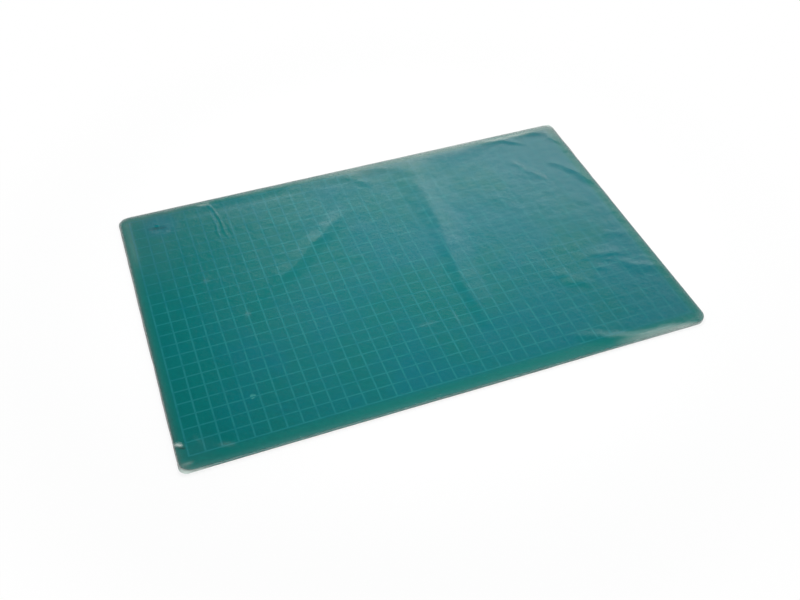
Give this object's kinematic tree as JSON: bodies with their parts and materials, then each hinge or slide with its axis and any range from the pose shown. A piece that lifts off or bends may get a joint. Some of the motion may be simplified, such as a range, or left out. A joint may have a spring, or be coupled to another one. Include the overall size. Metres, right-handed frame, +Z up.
{
  "type": "self-healing cutting mat in shrink film",
  "caption": "Flat five-ply green cutting mat, A3 size with rounded corners, wrapped in clear creased shrink film with a welded edge and a vent hole.",
  "frame": {"origin": "under the middle of the mat, on the surface that it lies on", "axes": "+X along the long side to the right, +Y towards the back edge, +Z up out of the printed side"},
  "size_m": [0.4538, 0.303, 0.0052],
  "materials": {
    "green_vinyl_top": "fine matt self-healing vinyl, teal green, printed with a paler half-inch grid",
    "green_vinyl_underside": "fine matt self-healing vinyl, green, unprinted",
    "soft_vinyl": "dark green soft vinyl, die-cut edge",
    "stiff_core": "dark grey-brown stiff core, die-cut edge",
    "clear_film": "clear glossy shrink film with creases and a welded edge"
  },
  "bodies": {
    "root": {"base_ply": "green_vinyl_underside", "lower_interlayer": "soft_vinyl", "core_ply": "stiff_core", "upper_interlayer": "soft_vinyl", "cutting_ply": "green_vinyl_top", "shrink_film": "clear_film"}
  },
  "joints": []
}
